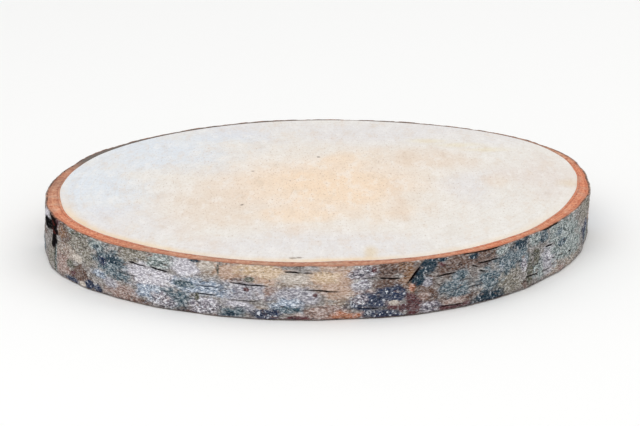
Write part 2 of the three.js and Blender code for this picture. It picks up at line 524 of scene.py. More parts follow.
def layered_noise(points, size, seed, layers=4):
    """Noise with finer noise on it: each layer has half the lump size of the one before."""
    total = 0
    strength = 1.0
    for i in range(layers):
        total = total + strength * noise_at(points, np.array(size) / 2**i, seed + i)
        strength = strength * FINER_STRENGTH
    return total


def blot(across, up, wide, tall, ragged, blur=1.0):
    """1 in the middle of an oval blot, fading to 0 round its ragged edge."""
    away = np.hypot(across / (wide / 2), up / (tall / 2)) + ragged
    return 1 - step(away, BLOT_EDGE - blur / 2, BLOT_EDGE + blur / 2)


def knot_eye(bearing, height):
    """How deep a place lies in the knot's eye, from 0 to 1."""
    across = along_bark(KNOT_BEARING, bearing)
    return rise(across, KNOT_EYE_REACH[0]) * rise(height - KNOT_HEIGHT, KNOT_EYE_REACH[1])


def off_scar(bearing, height):
    """Millimetres along the bark from the scar's line."""
    return along_bark(SCAR_BEARING + SCAR_SLANT * np.maximum(0, height - SCAR_KINK), bearing)


def bark_forms(bearing, height):
    """The bark's large forms: its outline, long waves, and the swelling and eye of the knot."""
    radius = outline(bearing, height)
    for waves, swing, crest, drift in BARK_WAVES:
        radius = radius + swing * np.cos(np.radians(waves * (bearing - crest - drift * height)))
    across = along_bark(KNOT_BEARING, bearing)
    below = rise(height - KNOT_HEIGHT + KNOT_SWELL_BELOW, KNOT_SWELL_REACH[1])
    swell = KNOT_SWELL * rise(across, KNOT_SWELL_REACH[0]) * below
    return radius + swell - KNOT_EYE * knot_eye(bearing, height)


def slice_axis():
    """Where the slice's own axis lies in the frame, whose origin is the middle of the slice's box."""
    bearings = np.arange(0, 360, AXIS_STEP)
    turns, levels = np.meshgrid(bearings, np.linspace(0, THICKNESS, AXIS_LEVELS))
    reach = bark_forms(turns, levels)
    x = reach * np.cos(np.radians(turns))
    y = reach * np.sin(np.radians(turns))
    middle = (wood_low + wood_high) / 2 / MM
    return Vector((middle.x - (x.max() + x.min()) / 2, middle.y - (y.max() + y.min()) / 2, 0))


AXIS = slice_axis()


def extruded_ring(name, section, columns):
    """Adds a circle at the section's first point and extrudes it along the section, in edit mode."""
    bpy.ops.object.select_all(action="DESELECT")
    radius, height = section[0]
    bpy.ops.mesh.primitive_circle_add(
        vertices=columns, radius=radius * MM, location=(0, 0, height * MM), enter_editmode=True
    )
    for (radius, height), (next_radius, next_height) in zip(section, section[1:]):
        bpy.ops.mesh.extrude_region_move(
            TRANSFORM_OT_translate={"value": (0, 0, (next_height - height) * MM)}
        )
        scale = next_radius / radius
        bpy.ops.transform.resize(value=(scale, scale, 1))
    piece = bpy.context.object
    piece.name = name
    return piece


def closed_ring(name, section, columns):
    """A ring whose last circle is bridged to its first."""
    piece = extruded_ring(name, section, columns)
    bpy.ops.mesh.select_all(action="DESELECT")
    bpy.ops.mesh.select_non_manifold()
    bpy.ops.mesh.bridge_edge_loops()
    return finished_ring(piece)


def closed_disc(name, section, columns):
    """A disc whose last circle is drawn in to a point, and its first one too."""
    piece = extruded_ring(name, section, columns)
    bpy.ops.mesh.extrude_region_move()
    bpy.ops.mesh.merge(type="CENTER")
    bpy.ops.mesh.select_all(action="DESELECT")
    bpy.ops.mesh.select_non_manifold()
    bpy.ops.mesh.extrude_region_move()
    bpy.ops.mesh.merge(type="CENTER")
    return finished_ring(piece)


def finished_ring(piece):
    """Turns the faces outwards and leaves edit mode."""
    bpy.ops.mesh.select_all(action="SELECT")
    bpy.ops.mesh.normals_make_consistent(inside=False)
    bpy.ops.object.mode_set(mode="OBJECT")
    bpy.ops.object.transform_apply(location=True, rotation=True, scale=True)
    return piece


def points_of(piece):
    """The piece's vertices in millimetres."""
    flat = np.zeros(len(piece.data.vertices) * 3)
    piece.data.vertices.foreach_get("co", flat)
    return flat.reshape(-1, 3) / MM


def round_places(points):
    """Bearing, radius and height of each point."""
    bearing = np.degrees(np.arctan2(points[:, 1], points[:, 0])) % 360
    return bearing, np.hypot(points[:, 0], points[:, 1]), points[:, 2]


def flat_places(bearing, radius, height):
    """The points at these bearings, radii and heights."""
    turn = np.radians(bearing)
    return np.stack((radius * np.cos(turn), radius * np.sin(turn), height), 1)


def reshape(piece, bearing, radius, height):
    """Puts the piece's vertices at these places round the slice's axis."""
    placed = (flat_places(bearing, radius, height) + np.array(AXIS)) * MM
    piece.data.vertices.foreach_set("co", placed.ravel())
    piece.data.update()


def mark(piece, name, values):
    """Stores a value for each vertex, for the material to read."""
    stored = piece.data.attributes.new(name, "FLOAT", "POINT")
    stored.data.foreach_set("value", np.asarray(values, np.float32))


def smooth_finish(piece, degrees):
    """Shades the piece smooth, apart from edges sharper than this angle."""
    bpy.ops.object.select_all(action="DESELECT")
    piece.select_set(True)
    bpy.context.view_layer.objects.active = piece
    bpy.ops.object.shade_smooth_by_angle(angle=math.radians(degrees))


# Wood disc

WOOD_COLUMNS = 720
WOOD_EDGE = MEAN_RADIUS - BARK_WIDTH
WOOD_FIRST_RING = 2.0
WOOD_RINGS_TOP = 100
WOOD_RINGS_UNDER = 26
WOOD_ARRIS = 0.25
WOOD_SMOOTHING = 40

# Gentle unevenness of the top: how deep, and the lump size, seed and layers of its noise
WOOD_UNEVEN = 0.12
WOOD_UNEVEN_NOISE = (60, 3, 3)

# Edges of the patches on the wood: how ragged, their noise, and the blur of small dark marks and of
# tints
WOOD_RAGGED = 0.6
WOOD_EDGE_NOISE = (34, 7, 4)
SPECK_AND_SHADE_BLUR = 0.8
TINT_BLUR = 2.2

# Tints of the wood, in the order in which they lie on each other
WOOD_KINDS = {
    "frost": "#d2e0f0",
    "haze": "#dcdadd",
    "honey": "#f2d6b6",
    "straw": "#dec9a2",
    "wheat": "#e6dbbd",
    "tan": "#e2cdb8",
    "rose": "#ddd0c8",
    # dark: small specks, and painted shade for two drying checks
    "dark": "#6a5a50",
}

# Patches on the top face: kind, place from the axis, width, depth
WOOD_PATCHES = (
    ("frost", -92, 82, 84, 90),
    ("frost", -120, 0, 50, 100),
    ("frost", -128, -10, 24, 60),
    ("frost", -66, 104, 60, 34),
    ("haze", -106, -84, 60, 60),
    ("haze", -10, -119, 100, 42),
    ("haze", 42, 122, 210, 50),
    ("haze", 80, 0, 26, 54),
    ("honey", 8, -4, 68, 100),
    ("honey", -9, 19, 34, 30),
    ("honey", 9, 57, 24, 24),
    ("honey", -5, -60, 46, 24),
    ("tan", -57, -45, 40, 80),
    ("tan", 60, 54, 40, 46),
    ("tan", 96, 5, 14, 24),
    ("tan", 41, -22, 8, 84),
    ("rose", 122, 12, 34, 74),
    ("wheat", 62, 98, 18, 9),
    ("wheat", 78, 88, 20, 9),
    ("wheat", 93, 77, 20, 9),
    ("straw", 134, 3, 14, 13),
    ("straw", 138, 1, 7, 9),
    ("straw", 25, -131, 5, 18),
    # The first two dark marks, at the front rim, are painted shade where two small drying checks are;
    # the rest are specks
    ("dark", -13.4, -140.2, 3.4, 2.6),
    ("dark", -10.2, -139.2, 3.0, 2.4),
    ("dark", -37, 29, 1.3, 2.2),
    ("dark", -1, 60, 1.6, 3),
    ("dark", -41, -41, 1.4, 2.2),
)

# How strongly the bark's colour has come into the edge of the wood: bearing, share
WOOD_EDGE_TURNS = (
    (0, 0.1),
    (25, 0.0),
    (170, 0.0),
    (195, 0.3),
    (207, 1.0),
    (235, 0.9),
    (252, 0.5),
    (274, 0.9),
    (290, 0.4),
    (318, 0.5),
    (345, 0.1),
    (360, 0.1),
)


def wood_disc():
    """The sawn wood, with a small arris all round, uneven on top."""
    under = [(r, 0) for r in np.linspace(WOOD_FIRST_RING, WOOD_EDGE - WOOD_ARRIS, WOOD_RINGS_UNDER)]
    wall = [(WOOD_EDGE, h) for h in (WOOD_ARRIS, THICKNESS / 2, THICKNESS - WOOD_ARRIS)]
    top = [(r, THICKNESS) for r in np.linspace(WOOD_EDGE - WOOD_ARRIS, WOOD_FIRST_RING, WOOD_RINGS_TOP)]
    piece = closed_disc("wood_disc", under + wall + top, WOOD_COLUMNS)
    bearing, radius, height = round_places(points_of(piece))
    share = radius / WOOD_EDGE
    radius = share * (outline(bearing, height) - bark_width(bearing))
    points = flat_places(bearing, radius, height)
    uneven = WOOD_UNEVEN * (1 + np.clip(layered_noise(points, *WOOD_UNEVEN_NOISE), -1, 1)) / 2
    on_top = height > THICKNESS - WOOD_ARRIS / 2
    reshape(piece, bearing, radius, np.where(on_top, height - uneven, height))

    ragged = WOOD_RAGGED * layered_noise(points, *WOOD_EDGE_NOISE)
    marks = {kind: np.zeros_like(bearing) for kind in WOOD_KINDS}
    for kind, x, y, wide, deep in WOOD_PATCHES:
        speck_and_shade = kind == "dark"
        edge = 0 if speck_and_shade else ragged
        blur = SPECK_AND_SHADE_BLUR if speck_and_shade else TINT_BLUR
        here = blot(points[:, 0] - x, points[:, 1] - y, wide, deep, edge, blur)
        marks[kind] = np.maximum(marks[kind], here)
    for kind in WOOD_KINDS:
        mark(piece, kind, marks[kind] * on_top)

    from_pith = points[:, :2] - np.array(PITH) * (1 - share)[:, None]
    ray = np.hypot(from_pith[:, 0], from_pith[:, 1]) + 1e-6
    mark(piece, "age", share)
    mark(piece, "edge_warmth", eased(bearing % 360, WOOD_EDGE_TURNS) * on_top)
    mark(piece, "ray_x", from_pith[:, 0] / ray)
    mark(piece, "ray_y", from_pith[:, 1] / ray)
    smooth_finish(piece, WOOD_SMOOTHING)
    return piece


# Inner bark

INNER_COLUMNS = 1080
INNER_ROWS = 15
INNER_WALL_BACK = 3
INNER_SMOOTHING = 40

# Relief of the cut fibres: how deep, the lump size, seed and layers of its noise, how far it drops
# at the outer edge and over which share of the width, and its limits
INNER_RELIEF = 0.14
INNER_NOISE = (2.0, 11, 3)
INNER_DROP = 0.12
INNER_DROP_SPAN = (0.75, 1.0)
INNER_LIMITS = (-0.4, 0.25)

# How the inner bark's colour changes round the slice: bearing, greyness, redness, from 0 to 1
INNER_TURNS = (
    (0, 0.0, 1.0),
    (15, 0.0, 1.0),
    (20, 0.0, 0.4),
    (27, 0.15, 0.0),
    (38, 0.6, 0.0),
    (60, 1.0, 0.0),
    (120, 1.1, 0.0),
    (158, 1.1, 0.0),
    (166, 0.5, 0.4),
    (170, 0.2, 0.6),
    (178, 0.45, 0.2),
    (186, 0.2, 0.3),
    (197, 0.0, 0.4),
    (205, 0.0, 0.9),
    (222, 0.0, 0.9),
    (236, 0.2, 0.6),
    (260, 0.3, 0.3),
    (284, 0.25, 0.3),
    (298, 0.1, 0.7),
    (306, 0.0, 1.0),
    (318, 0.05, 0.7),
    (340, 0.0, 0.8),
    (360, 0.0, 1.0),
)


def inner_bark():
    """The cut ring of inner bark on both faces. A wall closes it out of sight."""
    inside = WOOD_EDGE - OVERLAP
    outside = MEAN_RADIUS - OUTER_BARK_WIDTH
    low = BARK_SHRINK
    high = THICKNESS - BARK_SHRINK
    under = [(r, low) for r in np.linspace(inside, outside, INNER_ROWS)]
    top = [(r, high) for r in np.linspace(outside, inside, INNER_ROWS)]
    hidden_wall = [(outside - INNER_WALL_BACK, THICKNESS / 2)]
    piece = closed_ring("inner_bark", under + hidden_wall + top, INNER_COLUMNS)
    bearing, radius, height = round_places(points_of(piece))
    wood = outline(bearing, height) - bark_width(bearing)
    outer = bark_forms(bearing, height) - OUTER_BARK_WIDTH
    across = (radius - WOOD_EDGE) / (outside - WOOD_EDGE)
    radius = np.where(across < 0, wood + radius - WOOD_EDGE, wood + (outer - wood) * across)
    fibres = layered_noise(flat_places(bearing, radius, height), *INNER_NOISE)
    drop = INNER_DROP * step(across, *INNER_DROP_SPAN)
    relief = np.clip(INNER_RELIEF * fibres - drop, *INNER_LIMITS)
    outward = np.sign(np.round(height - THICKNESS / 2, 3))
    reshape(piece, bearing, radius, height + outward * relief)
    mark(piece, "across", across)
    turns, greyness, redness = zip(*INNER_TURNS)
    mark(piece, "greyness", np.interp(bearing, turns, greyness))
    mark(piece, "redness", np.interp(bearing, turns, redness))
    smooth_finish(piece, INNER_SMOOTHING)
    return piece


# Outer bark

BARK_COLUMNS = 1200
BARK_ROWS = 60
BARK_TOP = THICKNESS - BARK_SHRINK
BARK_SMOOTHING = 60

# Slits of the lenticels, which waver a little, and the raised lip above each one
SLIT_HALF_HEIGHT = 0.34
SLIT_DEPTH = 0.8
SLIT_WAVER = 0.3
LIP_OFFSET = 0.9
LIP_REACH = 0.4
LIP_HEIGHT = 0.22

# Width of the creases and how much they waver
CREASE_REACH = 0.7
CREASE_WAVER = 0.6

# Height of each form of the relief
PLATE_RELIEF = 0.28
GRAIN_RELIEF = 0.10
CRUST_RELIEF = 0.16
SCAR_DEPTH = 1.3
SCAR_LIP = 0.6

# Chips along both rims: size, how much of it each rim loses, and how deep the rim reaches
CHIP = 0.35
CHIP_AT_TOP = 0.8
CHIP_AT_BOTTOM = 0.6
RIM_REACH = 0.9

# Noise on the bark: lump sizes, seed and, where it has finer layers, how many there are
WAVER_NOISE = ((4, 4, 3), 21)
BARK_EDGE_NOISE = ((9, 9, 4.5), 31, 4)
PLATE_NOISE = ((12, 12, 4), 41, 4)
GRAIN_NOISE = ((1.9, 1.9, 1.5), 51, 2)
CHIP_NOISE = (5, 61, 3)

# How ragged the edges of patches are. Broad patches fade into each other over a wider edge than
# small marks.
BARK_RAGGED = 0.55
BROAD_PATCH = 7
BROAD_BLUR = 1.7
FINE_BLUR = 1.1

# Where the outer bark has come away from the inner bark and a gap shows at the rim, how deep it is,
# and how dark the shade painted into it is
GAPS = ((296, 307), (320, 329))
GAP_DEPTH = 0.9
GAP_PAINTED_SHADE = 0.8


def bark_section():
    """The bark's cut, as (radius, height): foot, side, top and the wall behind them."""
    inner = MEAN_RADIUS - OUTER_BARK_WIDTH - OVERLAP
    split = MEAN_RADIUS - OUTER_BARK_WIDTH
    low = THICKNESS - BARK_TOP
    rim = ((inner, -0.5), (split, -0.15), (MEAN_RADIUS - 1.0, 0), (MEAN_RADIUS - 0.5, 0))
    under = [(r, low - h) for r, h in rim]
    top = [(r, BARK_TOP + h) for r, h in reversed(rim)]
    side = [(MEAN_RADIUS, h) for h in np.linspace(low + 0.25, BARK_TOP - 0.25, BARK_ROWS)]
    wall = [(inner, h) for h in (THICKNESS * 0.75, THICKNESS * 0.25)]
    return under + side + top + wall


def slit_marks(bearing, height, wobble):
    """How deep each vertex lies in a lenticel's slit and how far up on its lip, from 0 to 1."""
    slit = np.zeros_like(bearing)
    lip = np.zeros_like(bearing)
    for start, end, first, last, opening in LENTICELS:
        half = np.radians(end - start) * MEAN_RADIUS / 2
        along = along_bark((start + end) / 2, bearing)
        line = first + (last - first) * (along / half + 1) / 2
        ends = opening * np.clip(1 - (np.abs(along) / (half + 0.5)) ** 4, 0, 1)
        off = height - line - SLIT_WAVER * wobble
        slit = np.maximum(slit, ends * rise(off, SLIT_HALF_HEIGHT * (0.6 + 0.5 * ends)))
        lip = np.maximum(lip, ends * rise(off - LIP_OFFSET, LIP_REACH))
    return slit, lip


def crease_marks(bearing, height, wobble):
    """How deep each vertex lies in one of the upright creases, in millimetres."""
    deep = np.zeros_like(bearing)
    for first, last, top, bottom, depth in CREASES:
        line = first + (last - first) * (top - height) / (top - bottom)
        inside = step(height, bottom - 2, bottom + 1) * (1 - step(height, top - 1, top + 2))
        off = along_bark(line, bearing) + wobble
        deep = np.maximum(deep, depth * inside * rise(off, CREASE_REACH))
    return deep


def scar_marks(bearing, height):
    """How deep each vertex lies in the scar and how far up on its lip."""
    line = off_scar(bearing, height)
    narrowing = SCAR_NARROWING * step(height, *SCAR_NARROWS)
    scar = rise(line, SCAR_REACH) * step(height, *SCAR_OPENS) * (1 - narrowing)
    foot = SCAR_FOOT * rise(line, SCAR_FOOT_REACH) * (1 - step(height, *SCAR_FOOT_ENDS))
    lip = rise(line + SCAR_LIP_OFFSET, SCAR_LIP_REACH) * step(height, *SCAR_LIP_STARTS)
    return scar + foot, lip


def gap_marks(bearing):
    """1 where a gap shows at the rim, fading to 0 at its ends."""
    gap = np.zeros_like(bearing)
    for start, end in GAPS:
        inside = step(bearing, start, start + 4) * (1 - step(bearing, end - 2, end + 2))
        gap = np.maximum(gap, inside)
    return gap


def outer_bark():
    """The outer bark with its relief, and what its material needs to know of every vertex."""
    piece = closed_ring("outer_bark", bark_section(), BARK_COLUMNS)
    bearing, radius, height = round_places(points_of(piece))
    depth = MEAN_RADIUS - radius
    face = 1 - step(depth, 0.6, OUTER_BARK_WIDTH + OVERLAP)
    girth = flat_places(bearing, MEAN_RADIUS, height)
    wobble = noise_at(girth, *WAVER_NOISE)
    slit, lip = slit_marks(bearing, height, wobble)
    crease = crease_marks(bearing, height, CREASE_WAVER * wobble)
    scar, scar_lip = scar_marks(bearing, height)

    ragged = BARK_RAGGED * layered_noise(girth, *BARK_EDGE_NOISE)
    marks = {kind: np.zeros_like(bearing) for kind in BARK_KINDS}
    for kind, middle, level, wide, tall in BARK_PATCHES:
        broad = wide > BROAD_PATCH and kind not in SHARP_KINDS
        blur = BROAD_BLUR if broad else FINE_BLUR
        here = blot(along_bark(middle, bearing), height - level, wide, tall, ragged, blur)
        marks[kind] = np.maximum(marks[kind], here)
    grain = BARE_GRAIN
    for kind, (_, graininess) in BARK_KINDS.items():
        grain = grain + (graininess - grain) * marks[kind]

    plates = np.clip(layered_noise(girth, *PLATE_NOISE), -1, 1)
    grains = np.clip(layered_noise(girth, *GRAIN_NOISE), -1, 1)
    crusty = np.maximum.reduce([share * marks[kind] for kind, share in CRUSTY_KINDS])
    relief = (
        SCAR_LIP * scar_lip - SCAR_DEPTH * scar - crease - SLIT_DEPTH * slit + LIP_HEIGHT * lip
        + PLATE_RELIEF * plates + (GRAIN_RELIEF + CRUST_RELIEF * crusty) * grains - HEADROOM
    )
    new_radius = bark_forms(bearing, height) - depth + face * relief

    chip = CHIP * np.clip(layered_noise(girth * (1, 1, 0), *CHIP_NOISE) + 0.2, 0, 1.5)
    near_top = step(height, BARK_TOP - RIM_REACH, BARK_TOP)
    near_bottom = 1 - step(height, THICKNESS - BARK_TOP, THICKNESS - BARK_TOP + RIM_REACH)
    gap = gap_marks(bearing)
    groove = rise(depth - 1.3, 0.5) * near_top
    new_height = (
        height - near_top * chip * CHIP_AT_TOP + near_bottom * chip * CHIP_AT_BOTTOM
        - GAP_DEPTH * gap * groove
    )
    reshape(piece, bearing, new_radius, new_height)

    # The creases, scar and gap are also marked for the painted shade in them, and each lip for its
    # painted highlight
    mark(piece, "slit", slit * face)
    mark(piece, "lip", lip * face)
    mark(piece, "crease", crease)
    mark(piece, "scar", scar * face)
    mark(piece, "scar_lip", scar_lip * face)
    mark(piece, "rim", step(depth, 0.2, 0.8))
    # The dark in the gap is painted shade
    mark(piece, "gap", GAP_PAINTED_SHADE * gap * step(height, BARK_TOP - RIM_REACH, BARK_TOP - 0.2))
    mark(piece, "foot", 1 - step(height, 0.4, 1.6))
    mark(piece, "grain", grain)
    mark(piece, "crusty", crusty)
    for kind in BARK_KINDS:
        mark(piece, kind, marks[kind])
    smooth_finish(piece, BARK_SMOOTHING)
    return piece


def add_node(tree, kind, sockets=None, **settings):
    """Adds a shader node, applies its settings, and fills or links its sockets."""
    made = tree.nodes.new("ShaderNode" + kind)
    for name, value in settings.items():
        setattr(made, name, value)
    for name, value in (sockets or {}).items():
        if isinstance(value, bpy.types.NodeSocket):
            tree.links.new(value, made.inputs[name])
        else:
            made.inputs[name].default_value = value
    return made


def colour(code):
    """A linear colour from an sRGB hex code."""
    parts = [int(code[i:i + 2], 16) / 255 for i in (1, 3, 5)]
    linear = [p / 12.92 if p <= 0.04045 else ((p + 0.055) / 1.055) ** 2.4 for p in parts]
    return (*linear, 1.0)


def cells(size):
    """A texture's scale for features of this size in millimetres."""
    return 1 / (size * MM)


def new_material(name):
    """An empty material and its node tree."""
    material = bpy.data.materials.new(name)
    material.use_nodes = True
    tree = material.node_tree
    tree.nodes.clear()
    return material, tree


def marked(tree, name):
    """The value that was stored for each vertex under this name."""
    return add_node(tree, "Attribute", attribute_name=name).outputs["Fac"]


def lumps(tree, place, size, detail=4.0, roughness=0.6):
    """Noise from 0 to 1 with lumps of this size in millimetres."""
    sockets = {"Vector": place, "Scale": cells(size), "Detail": detail, "Roughness": roughness}
    return add_node(tree, "TexNoise", sockets).outputs["Fac"]


def bands(tree, along, scale, detail, roughness=0.5):
    """Noise from 0 to 1 along one line, for layers of uneven width."""
    sockets = {"W": along, "Scale": scale, "Detail": detail, "Roughness": roughness}
    return add_node(tree, "TexNoise", sockets, noise_dimensions="1D").outputs["Fac"]


def stretch(tree, place, scale):
    """A place scaled in each direction: noise read there is longer where the scale is small."""
    return add_node(tree, "Mapping", {"Vector": place, "Scale": scale}).outputs[0]


def calc(tree, operation, first, second=0.0, third=0.0):
    """What one operation makes of up to three values."""
    return add_node(tree, "Math", {0: first, 1: second, 2: third}, operation=operation).outputs[0]


def between(tree, value, low, high, most=1.0):
    """0 below low, most above high and a smooth change between."""
    made = add_node(
        tree,
        "MapRange",
        {"Value": value, "From Min": low, "From Max": high, "To Min": 0.0, "To Max": most},
        interpolation_type="SMOOTHSTEP",
    )
    return made.outputs["Result"]


def layer(tree, share, under, over, blend="MIX"):
    """One colour laid on another, as strongly as share says."""
    made = add_node(
        tree, "Mix", {0: share, 6: under, 7: over}, data_type="RGBA", blend_type=blend, clamp_result=True
    )
    return made.outputs[2]


def tint(tree, base, code, value, low, high, most=1.0, where=None):
    """Lays a colour on the base: none of it at the low value, up to most at the high one."""
    share = between(tree, value, low, high, most)
    if where is not None:
        share = calc(tree, "MULTIPLY", share, where)
    return layer(tree, share, base, colour(code))


def ramp(tree, value, stops):
    """A colour that changes with a value, through pairs of value and colour code."""
    made = add_node(tree, "ValToRGB", {"Fac": value})
    band = made.color_ramp
    while len(band.elements) < len(stops):
        band.elements.new(1.0)
    for element, (place, code) in zip(band.elements, stops):
        element.position = place
        element.color = colour(code)
    return made.outputs["Color"]


def finish(tree, base, roughness, relief, strength, depth, shine=0.25):
    """Joins colour, roughness and fine relief, with a depth in millimetres, in one surface."""
    bump = add_node(tree, "Bump", {"Height": relief, "Strength": strength, "Distance": depth * MM})
    surface = add_node(
        tree,
        "BsdfPrincipled",
        {"Base Color": base, "Roughness": roughness, "Normal": bump.outputs["Normal"]},
    )
    surface.inputs["Specular IOR Level"].default_value = shine
    add_node(tree, "OutputMaterial", {"Surface": surface.outputs["BSDF"]})


# The saw crossed the face from front to back and drew every mark out that way
SAW_DRAG = 0.35

# Rays are long outwards and narrow across
RAY_STRETCH = (70, 70, 7)

# How strongly small dark specks, the painted shade of two drying checks, and the other tints show
SPECK_AND_SHADE_STRENGTH = 0.85
TINT_STRENGTH = 0.6


def sawn_hardwood():
    """Pale hardwood end grain, sawn and left dry: creamy, warm at the heart and cooler outwards."""
    material, tree = new_material("sawn_pale_hardwood_end_grain")
    place = add_node(tree, "TexCoord").outputs["Object"]
    sawn = stretch(tree, place, (1, SAW_DRAG, 1))
    age = marked(tree, "age")
    big = lumps(tree, place, 55, 4.0, 0.55)
    mid = lumps(tree, sawn, 9, 5.0, 0.62)
    fine = lumps(tree, sawn, 1.4, 3.0, 0.65)

    # Zones of age, from the heart to the last years' wood under the bark
    zone = calc(tree, "MULTIPLY_ADD", big, 0.3, age)
    zone = calc(tree, "MULTIPLY_ADD", mid, 0.12, zone)
    base = ramp(tree, zone, (
        (0.25, "#ecdac6"),
        (0.50, "#eadccd"),
        (0.70, "#e6dfd6"),
        (1.00, "#e5e1db"),
    ))

    # Dark specks, the painted shade of two drying checks, and tints, each with a cloudy edge
    for kind, code in WOOD_KINDS.items():
        cloudy = calc(tree, "SUBTRACT", mid, 0.5)
        share = calc(tree, "MULTIPLY_ADD", cloudy, 1.1, marked(tree, kind))
        strength = SPECK_AND_SHADE_STRENGTH if kind == "dark" else TINT_STRENGTH
        base = tint(tree, base, code, share, 0.0, 1.2, strength)

    # Yearly rings: bands of uneven width round the pith
    ring_place = calc(tree, "MULTIPLY_ADD", mid, 0.035, age)
    rings = bands(tree, ring_place, 55.0, 3.0, 0.7)
    base = tint(tree, base, "#cdb79f", rings, 0.5, 0.75, 0.15)

    # Clouds of warmer and paler wood
    cloud = lumps(tree, sawn, 6, 4.0, 0.65)
    base = tint(tree, base, "#dcc9b6", cloud, 0.50, 0.68, 0.26)
    base = tint(tree, base, "#f1eeea", cloud, 0.50, 0.32, 0.36)

    # Rays: faint streaks that run out from the pith
    outward = add_node(
        tree, "CombineXYZ", {"X": marked(tree, "ray_x"), "Y": marked(tree, "ray_y"), "Z": age}
    ).outputs[0]
    stretched = stretch(tree, outward, RAY_STRETCH)
    rays = add_node(tree, "TexNoise", {"Vector": stretched, "Scale": 1.0, "Detail": 3.0}).outputs["Fac"]
    base = tint(tree, base, "#bfae9e", rays, 0.5, 0.8, 0.14)

    # Pores and tiny flecks, fainter towards the bark, and the light and shade of fine grain
    flecks = lumps(tree, sawn, 0.9, 2.0)
    inner = calc(tree, "MULTIPLY_ADD", age, -0.8, 1.15)
    base = tint(tree, base, "#a98b76", flecks, 0.58, 0.74, 0.75, inner)
    grey = add_node(tree, "CombineXYZ", {0: fine, 1: fine, 2: fine}).outputs[0]
    base = layer(tree, 0.45, base, grey, "SOFT_LIGHT")

    # The last year's wood takes up the bark's colour at its very edge
    edge = calc(tree, "MULTIPLY_ADD", mid, 0.05, age)
    base = tint(tree, base, "#eac795", edge, 0.97, 1.03, 0.7, marked(tree, "edge_warmth"))

    roughness = between(tree, fine, 0.2, 0.8, 1.0)
    roughness = calc(tree, "MULTIPLY_ADD", roughness, 0.2, 0.7)
    relief = calc(tree, "MULTIPLY_ADD", rings, 0.5, fine)
    finish(tree, base, roughness, relief, 0.25, 0.2)
    return material


def sawn_inner_bark():
    """Inner bark cut across: dry orange fibre with darker and redder granules."""
    material, tree = new_material("sawn_dry_inner_bark")
    place = add_node(tree, "TexCoord").outputs["Object"]
    across = marked(tree, "across")
    big = lumps(tree, place, 9, 3.0)
    mid = lumps(tree, place, 2.6, 5.0, 0.65)
    fine = lumps(tree, place, 1.1, 3.0, 0.7)

    # Tan, and redder by the side of the trunk, with darker and paler granules
    base = ramp(tree, mid, (
        (0.32, "#90563f"),
        (0.45, "#c28768"),
        (0.55, "#d7a385"),
        (0.68, "#ecc6ac"),
    ))
    redder = ramp(tree, fine, (
        (0.34, "#9c3f25"),
        (0.50, "#d6744c"),
        (0.66, "#eeaf8c"),
    ))
    base = layer(tree, calc(tree, "MULTIPLY", marked(tree, "redness"), 0.8), base, redder)

    # Layers laid down year by year, seen as thin darker and paler lines along the ring
    layers = bands(tree, calc(tree, "MULTIPLY_ADD", mid, 0.2, across), 5.0, 2.0)
    base = tint(tree, base, "#97503a", layers, 0.5, 0.66, 0.6)
    base = tint(tree, base, "#f0b48c", layers, 0.48, 0.34, 0.4)

    # Duller and redder stretches, and the bark weathered to grey-brown at the back
    base = tint(tree, base, "#b9a08c", big, 0.5, 0.7, 0.4)
    base = tint(tree, base, "#9c4a2e", big, 0.46, 0.3, 0.45)
    base = layer(tree, calc(tree, "MULTIPLY", marked(tree, "greyness"), 0.9), base, colour("#6a615a"))

    # Pale cambium against the wood, and a dry brown skin at the outer edge
    inner_edge = calc(tree, "MULTIPLY_ADD", mid, 0.22, across)
    cambium = calc(tree, "SUBTRACT", 0.22, inner_edge)
    base = tint(tree, base, "#e9c09a", cambium, 0.0, 0.2, 0.45)
    outer_edge = calc(tree, "MULTIPLY_ADD", mid, 0.3, across)
    base = tint(tree, base, "#8d5a48", outer_edge, 1.0, 1.15, 0.5)

    roughness = calc(tree, "MULTIPLY_ADD", fine, 0.3, 0.65)
    finish(tree, base, roughness, calc(tree, "ADD", mid, fine), 0.7, 0.4)
    return material


# Lumps on the bark are wider than they are tall by this much, and its finer marks more so
LEVEL_STRETCH = 1.7
FLAT_STRETCH = 2.4

# How strongly scurf lightens and darkens the bark, and the darkest that it can leave it
SCURF_CONTRAST = 2.6
SCURF_DARKEST = (0.003, 0.003, 0.003)

# Tints of the bark's forms, in the order in which they lie on each other: form, colour, strength.
# The dark in the creases, the scar and the gap is painted shade, and the pale on each lip is a
# painted highlight.
FORM_TINTS_AND_PAINTED_LIGHT = (
    ("scar_lip", "#a08066", 0.3),
    ("lip", "#cdc1bc", 0.15),
    ("crease", "#2b2c30", 1.2),
    ("scar", "#160d0e", 1.0),
    ("gap", "#140e0d", 0.95),
    ("slit", "#150f10", 1.0),
)


